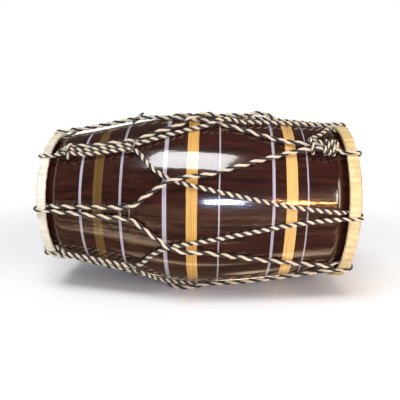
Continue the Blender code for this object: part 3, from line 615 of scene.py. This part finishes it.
def leg(rope, apex, turn, swing, bass_swing, to_bass, treble_way, bass_way, lifts,
        ring_swing=None, keep_wide=False, extra=()):
    """One run of rope between the heads.

    apex is the treble apex it belongs to, and turn is +1 or -1, the way round that it swings.
    treble_way and bass_way say whether it is over or under the collar at each end, and lifts are
    (x, height above the shell) knots for the stretch between its ring and the bass end.
    """
    ring_x = RING_X[apex % APEXES]
    at_ring = ring_swing
    if ring_swing is None:
        at_ring = degrees_for(LEG_AT_RING, barrel_line(ring_x) + ring_lie())
    hitched = degrees_for(PAIR_HALF_GAP, barrel_line(HITCH_MIDDLE_X) + BOUND_LIE)
    in_hitch = [(HITCH_OUT_X, hitched), (HITCH_IN_X, hitched)]
    knots = [(-TREBLE.exit_x, EXIT_SWING)]
    if ring_swing is not None:
        knots += in_hitch + [(HITCH_CLEAR_X, ring_swing)]
    elif keep_wide:
        wide = degrees_for(LEG_AT_RING, barrel_line(HITCH_CLEAR_X) + ring_lie())
        knots += in_hitch + [(HITCH_CLEAR_X, wide)]
    else:
        knots += [(SPREAD_X, SPREAD_SWING)]
    knots += [(ring_x - 0.012, at_ring * (1.03 if keep_wide else 0.985)), (ring_x + 0.004, at_ring)]
    knots += [k for k in swing if k[0] > ring_x + 0.012]
    knots += [(BASS.exit_x, bass_swing)]
    high = BOUND_LIE if keep_wide or ring_swing is not None else ring_lie()
    heights = {}
    for way, head in ((treble_way, TREBLE), (bass_way, BASS)):
        x = head.side * head.exit_x
        radius = head.over_r if way == "over" else head.under_r
        heights[x] = radius - shell_outside(x)
    x = -TREBLE.exit_x + TREBLE_STEP_DOWN
    next_to = TREBLE.over_r - 0.0002 - shell_outside(x) if treble_way == "over" else LIE + STEP_UP
    rise = [(-TREBLE.exit_x, heights[-TREBLE.exit_x]), (x, next_to)]
    rise += [(BEHIND_LIP_X, (next_to + high) / 2 if treble_way == "over" else high - 0.0015)]
    rise += [(HITCH_OUT_X, high), (HITCH_IN_X, high)]
    rise += [(HITCH_CLEAR_X, ring_lie()), (ring_x - RING_IN, ring_lie())]
    rise += [(ring_x + RING_OUT, ring_lie() - RING_DIP)]
    rise += [k for k in lifts if k[0] > ring_x + RING_SQUEEZE]
    x = BASS.exit_x - BASS_STEP_DOWN
    bound = lifts[-1][1] > LIE + 0.001
    if bass_way == "over":
        next_to = BASS.over_r - 0.0001 - shell_outside(x)
    else:
        next_to = LIE + (STEP_UP if bound else STEP_UP_LOW)
    foot = (lifts[-1][1] + next_to) / 2 if bound else LIE + STEP_UP
    rise += [(BASS_FOOT_X, foot), (x, next_to), (BASS.exit_x, heights[BASS.exit_x])]
    path = []
    for x in stations(ring_x, extra):
        angle = apex * STEP_DEG + turn * smooth(knots, x)
        thick = ROPE_R
        if x < SQUEEZED_TREBLE_X or x > SQUEEZED_BASS_X:
            thick = ROPE_AT_HOOP_R
        elif x < ring_x + RING_SQUEEZE:
            thick = ROPE_AT_RING_R
        path.append((x, shell_outside(x) + smooth(rise, x), angle, thick))
    for point in path if to_bass else reversed(path):
        rope.add(*point)


def hoop_wrap(rope, head, over_deg, under_deg, over_first=True):
    """Rope round a hoop: over the collar, round its front, in through the skin and out under it."""
    wrap_r = ROPE_AT_HOOP_R + ROPE_GAP
    front = COLLAR_FRONT_X
    outer_bend = COLLAR_EDGE_R + wrap_r
    path = [(front - COLLAR_EDGE_R - WRAP_LEAD, head.over_r)]
    for t in (80, 40, 5):
        a = math.radians(t)
        x = front - COLLAR_EDGE_R + outer_bend * math.cos(a)
        path.append((x, head.collar_r - COLLAR_EDGE_R + outer_bend * math.sin(a)))
    for t in (10, 48, 85):
        a = math.radians(t)
        path.append((front + wrap_r * math.cos(a), head.hoop_in_r - wrap_r * math.sin(a)))
    points = []
    for (x, radius), part in zip(path, WRAP_SHARE):
        angle = over_deg + (under_deg - over_deg) * part
        points.append((head.side * x, radius, angle, ROPE_AT_HOOP_R))
    for point in points if over_first else reversed(points):
        rope.add(*point)


# A turn round a pair of legs has ten steps: four round each leg and one across to the other
TURN_STEPS = 10


def tied_turns(rope, middle_deg, stops):
    """Turns of rope round a pair of legs: stops are (turns made, x) knots."""
    last = stops[-1][0]
    count = int(round(last * TURN_STEPS))
    for i in range(count + 1):
        made = last * i / count
        x = float(np.interp(made, [stop[0] for stop in stops], [stop[1] for stop in stops]))
        part = (made % 1.0) * TURN_STEPS
        if part < 2.5:
            t, centre = 45 * part, PAIR_HALF_GAP
        elif part < 7.5:
            t, centre = 90 + 45 * (part - 2.5 - 0.5), -PAIR_HALF_GAP
        else:
            t, centre = 270 + 45 * (part - 8.0), PAIR_HALF_GAP
        t = min(max(t, 0), 360)
        a = math.radians(t)
        across = centre + TURN_OFFSET * math.cos(a)
        up = TURN_OFFSET * math.sin(a)
        radius = shell_outside(x) + BOUND_LIE + up
        rope.add(x, radius, middle_deg + degrees_for(across, radius), ROPE_IN_TURN_R)


# Heights above the shell along the legs: (x, height) knots between a leg's ring and the bass end
LOOSE_LIFTS = ((-0.050, LIE + 0.0015), (-0.037, CROSS_OVER), (-0.012, CROSS_OVER), (0.016, LIE),
               (0.199, LIE))
TIGHT_LIFTS = ((-0.050, LIE), (0.199, LIE))
BOUND_LIFTS = LOOSE_LIFTS[:4] + ((0.135, LIE), (0.156, BOUND_LIE), (BOUND_TO_X, BOUND_LIE))
TOP_LIFTS = ((-0.050, LIE), (0.135, LIE), (0.156, BOUND_LIE), (BOUND_TO_X, BOUND_LIE))
LAST_LIFTS = ((-0.050, LIE), (0.012, LIE), (0.029, CROSS_OVER), (0.047, CROSS_OVER), (0.066, LIE),
              (0.199, LIE))


def along(rope, knots, thickness=ROPE_R):
    """A stretch of rope through chosen (x, degrees, height above the shell) points."""
    for x, degrees, height in knots:
        rope.add(x, shell_outside(x) + height, degrees, thickness)


# How far from its treble apex, in degrees, a rope's first and last wraps of the bass hoop are
START_OVER, START_UNDER = 41.8, 38.6
LAST_OVER, LAST_UNDER = 42.0, 38.8


def cut_end(rope, apex):
    """A rope's cut end, which lies under the bass collar, and its first wrap of the bass hoop."""
    middle = apex * STEP_DEG
    tail = ((0.2030, middle - 37.8, LIE + 0.0014), (0.2080, middle - 38.2, LIE + STEP_UP_LOW))
    along(rope, tail, ROPE_AT_HOOP_R)
    rope.add(BASS.exit_x, BASS.under_r, middle - START_UNDER, ROPE_AT_HOOP_R)
    hoop_wrap(rope, BASS, middle - START_OVER, middle - START_UNDER, over_first=False)


def last_wrap(rope, middle):
    """A rope's last wrap of the bass hoop, from where it runs back to be tied off."""
    hoop_wrap(rope, BASS, middle + LAST_OVER, middle + LAST_UNDER)
    rope.add(BASS.exit_x, BASS.under_r, middle + LAST_UNDER, ROPE_AT_HOOP_R)


def tight_rope():
    """The tightly laid rope: even bass apexes and odd treble ones, tied off round the bound pair."""
    rope = Rope()
    cut_end(rope, 3)
    leg(rope, 3, -1, TIGHT_SWING, START_OVER, False, "over", "over", TIGHT_LIFTS)
    for apex in (3, 5, 7):
        middle = apex * STEP_DEG
        hoop_wrap(rope, TREBLE, middle - EXIT_SWING, middle + EXIT_SWING)
        leg(rope, apex, 1, TIGHT_SWING, STEP_DEG - EXIT_SWING, True, "under", "over", TIGHT_LIFTS)
        middle += STEP_DEG
        hoop_wrap(rope, BASS, middle - EXIT_SWING, middle + EXIT_SWING)
        leg(rope, apex + 2, -1, TIGHT_SWING, STEP_DEG - EXIT_SWING, False, "over", "under",
            TIGHT_LIFTS, keep_wide=apex == 7)
    middle = 9 * STEP_DEG
    hoop_wrap(rope, TREBLE, middle - EXIT_SWING, middle + EXIT_SWING)
    leg(rope, 9, 1, LAST_LEG_SWING, LAST_OVER, True, "under", "over", LAST_LIFTS, ring_swing=0.0,
        extra=(0.027, 0.036, 0.056, 0.066))
    last_wrap(rope, middle)
    along(rope, ((0.2080, middle + 36.8, LIE + STEP_UP_LOW),), ROPE_AT_HOOP_R)
    along(rope, ((BASS_FOOT_X, middle + 32.2, LIE + 0.0014),), ROPE_AT_HOOP_R)
    along(rope, (
        (0.1990, middle + 27.3, LIE + 0.0003),
        (0.1900, middle + 20.5, LIE),
        (0.1800, middle + 14.5, LIE),
    ))
    to_turns = ((0.1690, middle + 10.8, LIE + 0.0015), (0.1635, middle + 7.8, LIE + 0.004))
    along(rope, to_turns, ROPE_IN_TURN_R)
    tied_turns(rope, middle, ((0.0, 0.1610), (1.1, 0.1680), (1.2, 0.1740), (1.3, 0.1800), (4.3, 0.1990)))
    return rope


def loose_rope():
    """The loosely laid rope: odd bass apexes and even treble ones, hitched to the treble pair."""
    rope = Rope()
    cut_end(rope, 4)
    leg(rope, 4, -1, LOOSE_SWING, START_OVER, False, "over", "over", LOOSE_LIFTS)
    for apex in (4, 6, 8):
        middle = apex * STEP_DEG
        hoop_wrap(rope, TREBLE, middle - EXIT_SWING, middle + EXIT_SWING)
        swing, lifts = (BOUND_LEG_SWING, BOUND_LIFTS) if apex == 8 else (LOOSE_SWING, LOOSE_LIFTS)
        leg(rope, apex, 1, swing, STEP_DEG - EXIT_SWING, True, "under", "over", lifts)
        middle += STEP_DEG
        hoop_wrap(rope, BASS, middle - EXIT_SWING, middle + EXIT_SWING)
        swing, lifts = (TOP_LEG_SWING, TOP_LIFTS) if apex == 8 else (LOOSE_SWING, LOOSE_LIFTS)
        leg(rope, apex + 2, -1, swing, STEP_DEG - EXIT_SWING, False, "over", "under", lifts)
    middle = 10 * STEP_DEG
    hoop_wrap(rope, TREBLE, middle - EXIT_SWING, middle + EXIT_SWING)
    leg(rope, 10, 1, LOOSE_SWING, LAST_OVER, True, "under", "over", LOOSE_LIFTS)
    last_wrap(rope, middle)
    along(rope, ((0.2080, middle + 37.9, LIE + STEP_UP_LOW),), ROPE_AT_HOOP_R)
    ring_x = RING_X[1]
    lift = ring_lie()
    along(rope, (
        (BASS_FOOT_X, 486.6, LIE + STEP_UP),
        (0.1990, 485.3, LIE + 0.0003),
        (0.1910, 482.9, LIE),
        (0.1650, 475.0, LIE),
        (0.1330, 465.5, LIE),
        (0.1200, 461.6, CROSS_OVER + 0.0005),
        (0.0940, 454.0, CROSS_OVER + 0.0005),
        (0.0780, 449.4, LIE),
        (0.0610, 444.4, LIE + 0.0002),
        (0.0450, 439.5, LIE),
        (0.0280, 434.5, LIE),
        (0.0140, 430.5, CROSS_OVER + 0.0005),
        (-0.0080, 424.7, CROSS_OVER + 0.0005),
        (-0.0250, 420.9, LIE),
        (-0.0470, 416.6, LIE + 0.001),
        (-0.0675, 413.0, lift - 0.002),
        (ring_x + RING_OUT, 409.0, lift - RING_DIP),
        (ring_x - RING_IN, 408.4, lift),
        (-0.1400, 408.6, lift),
        (-0.1650, 409.0, lift),
    ))
    along(rope, ((-0.1780, 410.2, BOUND_LIE),), ROPE_IN_TURN_R)
    tied_turns(rope, 9 * STEP_DEG, ((0.0, -0.1850), (1.3, -0.1935)))
    return rope


# How far each strand's middle is from the rope's, and its radius, as shares of the rope's radius,
# and how far along a rope its strands take to go round once
CREAM_OFFSET, CREAM_SIZE = 0.42, 0.57
BLACK_OFFSET, BLACK_SIZE = 0.50, 0.49
LOOSE_PITCH = 0.024
TIGHT_PITCH = 0.0126
CORNER_CUTS = 2
STRAND_STEP = 0.0022
STRAND_ROUNDNESS = 2

# A cotton yarn is about 0.3 mm thick, too fine to show, so it is drawn three times as coarse
YARN_MM = 0.9091
YARN_DEPTH = 0.0006


def cotton(name, light, dark):
    """Spun cotton strand: fully dull, with fine yarns that break up its colour."""
    made, tree, shader = new_material(name, Roughness=0.9, Sheen_Weight=0.3)
    where = node(tree, "ShaderNodeTexCoord").outputs["Object"]
    yarn = node(tree, "ShaderNodeTexNoise", {"Vector": where, "Scale": 1000.0 / YARN_MM, "Detail": 3.0})
    tone = node(tree, "ShaderNodeValToRGB", {"Fac": yarn.outputs["Fac"]})
    two_tones(tone, dark, 0.30, light, 0.62)
    tree.links.new(tone.outputs["Color"], shader.inputs["Base Color"])
    bump = node(tree, "ShaderNodeBump", {"Height": yarn.outputs["Fac"], "Strength": 0.5,
                                         "Distance": YARN_DEPTH})
    tree.links.new(bump.outputs["Normal"], shader.inputs["Normal"])
    return made


def centre_line(rope):
    """A rope's centre line with its corners cut, its thickness and its length, at even steps."""
    knots = [np.array(p) for p, _ in rope.points]
    thick = [t for _, t in rope.points]
    for _ in range(CORNER_CUTS):
        finer, finer_thick = [knots[0]], [thick[0]]
        for a, b, ta, tb in zip(knots, knots[1:], thick, thick[1:]):
            finer += [a * 0.75 + b * 0.25, a * 0.25 + b * 0.75]
            finer_thick += [ta * 0.75 + tb * 0.25, ta * 0.25 + tb * 0.75]
        knots, thick = finer + [knots[-1]], finer_thick + [thick[-1]]
    knots = np.array(knots)
    run = np.concatenate([[0.0], np.cumsum(np.linalg.norm(np.diff(knots, axis=0), axis=1))])
    at = np.linspace(0.0, run[-1], int(run[-1] / STRAND_STEP))
    line = np.stack([np.interp(at, run, knots[:, i]) for i in range(3)], axis=1)
    return line, np.interp(at, run, thick), at


def strand(name, line, thick, at, pitch, phase, offset, radius, finish):
    """One strand of a two-strand rope: a tube that winds round the rope's centre line."""
    ahead = np.gradient(line, axis=0)
    ahead /= np.linalg.norm(ahead, axis=1)[:, None]
    side = np.cross(ahead[0], (0.0, 0.0, 1.0))
    side /= np.linalg.norm(side)
    centres = []
    for i in range(len(line)):
        side = side - ahead[i] * np.dot(side, ahead[i])
        side /= np.linalg.norm(side)
        other = np.cross(ahead[i], side)
        turn = 2 * math.pi * at[i] / pitch + phase
        centres.append(line[i] + thick[i] * offset * (math.cos(turn) * side + math.sin(turn) * other))
    curve = bpy.data.curves.new(name, "CURVE")
    curve.dimensions = "3D"
    curve.bevel_depth = 1.0
    curve.bevel_resolution = STRAND_ROUNDNESS
    curve.use_fill_caps = True
    spline = curve.splines.new("POLY")
    spline.points.add(len(centres) - 1)
    spline.use_smooth = True
    for point, centre, t in zip(spline.points, centres, thick):
        point.co = (*centre, 1.0)
        point.radius = t * radius
    curve.materials.append(finish)
    made = bpy.data.objects.new(name, curve)
    bpy.context.scene.collection.objects.link(made)
    return made


cream = cotton("unbleached_cotton_strand", "#dccdb0", "#a3906f")
black = cotton("dyed_black_cotton_strand", "#241d18", "#0c0a09")
for cad_name, rope, pitch in (("lacing_rope_tight", tight_rope(), TIGHT_PITCH),
                              ("lacing_rope_loose", loose_rope(), LOOSE_PITCH)):
    line, thick, at = centre_line(rope)
    lay = (line, thick, at, pitch)
    pale = strand(cad_name + "_cream", *lay, 0.0, CREAM_OFFSET, CREAM_SIZE, cream)
    dark = strand(cad_name + "_black", *lay, math.pi, BLACK_OFFSET, BLACK_SIZE, black)
    for piece in (pale, dark):
        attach(piece, "drum")
    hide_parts(cad_name)
    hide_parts(cad_name)


# The drum lies on white paper, a flat square that the eye sees as plain white away from the drum. Soft
# boxes stand in front, large ones to light it and narrow ones for the lacquer to mirror as streaks.
FLOOR_REACH = 6.0
FLOOR_DROP = 0.0005
SWEEP_FROM = 0.30
SWEEP_TO = 0.85
# Pale strips lie across the floor: their scale along and across, their shift and their strengths
STRIP_SCALE = (2.2, 34.0, 1.0)
STRIP_SHIFT = (0.0, 0.4, 0.0)
STRIP_DIM, STRIP_BRIGHT = 0.30, 6.0

floor_mesh = bpy.data.meshes.new("studio_floor")
square = ((-1, -1), (1, -1), (1, 1), (-1, 1))
corners = [(FLOOR_REACH * x, FLOOR_REACH * y, -FLOOR_DROP) for x, y in square]
floor_mesh.from_pydata(corners, [], [(0, 1, 2, 3)])
paper, tree, shader = new_material("white_paper", Base_Color=linear("#fbfbfb"), Roughness=0.9)
# Away from the drum's shadow the eye gets plain white
where = node(tree, "ShaderNodeTexCoord").outputs["Object"]
away = node(tree, "ShaderNodeVectorMath", {0: where}, operation="LENGTH")
away = node(tree, "ShaderNodeMapRange", {"Value": away.outputs["Value"], "From Min": SWEEP_FROM,
                                        "From Max": SWEEP_TO})
seen = node(tree, "ShaderNodeLightPath").outputs["Is Camera Ray"]
bare = node(tree, "ShaderNodeMath", {0: away.outputs["Result"], 1: seen}, operation="MULTIPLY").outputs[0]
white = node(tree, "ShaderNodeEmission", {"Color": (1.0, 1.0, 1.0, 1.0), "Strength": 1.0})
sweep = node(tree, "ShaderNodeMixShader", {"Fac": bare, 1: shader.outputs[0], 2: white.outputs[0]})
# The lacquer mirrors a darker floor than the eye sees, with pale strips that show on the
# drum's underside
mirrored = node(tree, "ShaderNodeLightPath").outputs["Is Glossy Ray"]
strips = node(tree, "ShaderNodeMapping", {"Vector": where, "Location": STRIP_SHIFT, "Scale": STRIP_SCALE})
strips = node(tree, "ShaderNodeTexNoise", {"Vector": strips.outputs["Vector"], "Scale": 1.0,
                                           "Detail": 3.0})
strips = node(tree, "ShaderNodeMapRange", {"Value": strips.outputs["Fac"], "From Min": 0.54,
                                           "From Max": 0.66, "To Min": STRIP_DIM, "To Max": STRIP_BRIGHT})
room = node(tree, "ShaderNodeEmission", {"Color": linear("#b9a184"),
                                         "Strength": strips.outputs["Result"]})
sweep = node(tree, "ShaderNodeMixShader", {"Fac": mirrored, 1: sweep.outputs[0], 2: room.outputs[0]})
tree.links.new(sweep.outputs[0], tree.nodes["Material Output"].inputs["Surface"])
floor_mesh.materials.append(paper)
floor = bpy.data.objects.new("studio_floor", floor_mesh)
bpy.context.scene.collection.objects.link(floor)
world = bpy.data.worlds.new("studio")
bpy.context.scene.world = world
world.use_nodes = True
tree = world.node_tree
tree.nodes.clear()
path = node(tree, "ShaderNodeLightPath")
seen = node(tree, "ShaderNodeBackground", {"Color": (1.0, 1.0, 1.0, 1.0), "Strength": 1.0})
fill = node(tree, "ShaderNodeBackground", {"Color": linear("#eef1f6"), "Strength": 0.38})
dim = node(tree, "ShaderNodeBackground", {"Color": linear("#6a6460"), "Strength": 0.5})
mix = node(tree, "ShaderNodeMixShader", {"Fac": path.outputs["Is Glossy Ray"], 1: fill.outputs[0],
                                         2: dim.outputs[0]})
mix = node(tree, "ShaderNodeMixShader", {"Fac": path.outputs["Is Camera Ray"], 1: mix.outputs[0],
                                         2: seen.outputs[0]})
node(tree, "ShaderNodeOutputWorld", {"Surface": mix.outputs[0]})

# Each soft box: its place, its width and height in metres, its power in watts and its colour
SOFT_BOXES = (
    ("key_box", (-0.3, -1.1, 2.1), (1.4, 0.9), 38.0, "#ffffff"),
    ("front_strip", (0.16, -1.15, 0.255), (0.30, 0.07), 6.0, "#c4d6ff"),
    ("warm_strip", (0.62, -1.05, 0.265), (0.36, 0.035), 2.4, "#ffb877"),
    ("bass_panel", (0.75, -0.95, 0.42), (0.16, 0.20), 3.0, "#e8dccf"),
    ("right_box", (1.6, -0.9, 0.55), (0.5, 0.9), 8.0, "#fff1de"),
)
for name, spot, size, power, colour in SOFT_BOXES:
    lamp = bpy.data.lights.new(name, "AREA")
    lamp.shape = "RECTANGLE"
    lamp.size, lamp.size_y = size
    lamp.energy = power
    lamp.color = linear(colour)[:3]
    box = bpy.data.objects.new(name, lamp)
    box.location = spot
    toward = Vector((0, 0, AXIS_HEIGHT)) - Vector(spot)
    box.rotation_euler = toward.to_track_quat("-Z", "Y").to_euler()
    bpy.context.scene.collection.objects.link(box)


# The camera stands about 0.75 m from the drum, a little to its bass side and ten degrees above its
# axis, and is turned slightly off the drum's middle.
CAMERA_DISTANCE = 0.74507
CAMERA_SIDE = 0.0263
CAMERA_RISE_DEG = 10.0
YAW, PITCH, ROLL = 0.03049, -0.00376, -0.01799
SENSOR_WIDTH_MM = 36.0
LENS_MM = 40.23
turned_by = (Matrix.Rotation(math.radians(-CAMERA_RISE_DEG), 3, "X") @ Matrix.Rotation(YAW, 3, "Z")
             @ Matrix.Rotation(PITCH, 3, "X") @ Matrix.Rotation(ROLL, 3, "Y"))
lens = bpy.data.cameras.new("camera")
lens.sensor_width = SENSOR_WIDTH_MM
lens.lens = LENS_MM
camera = bpy.data.objects.new("camera", lens)
rise = math.radians(CAMERA_RISE_DEG)
spot = Vector((CAMERA_SIDE, -CAMERA_DISTANCE * math.cos(rise),
               AXIS_HEIGHT + CAMERA_DISTANCE * math.sin(rise)))
axes = Matrix([turned_by @ Vector(axis) for axis in ((1, 0, 0), (0, 0, 1), (0, -1, 0))])
camera.matrix_world = Matrix.Translation(spot) @ axes.transposed().to_4x4()
bpy.context.scene.collection.objects.link(camera)
bpy.context.scene.camera = camera
bpy.context.scene.view_settings.view_transform = "Standard"
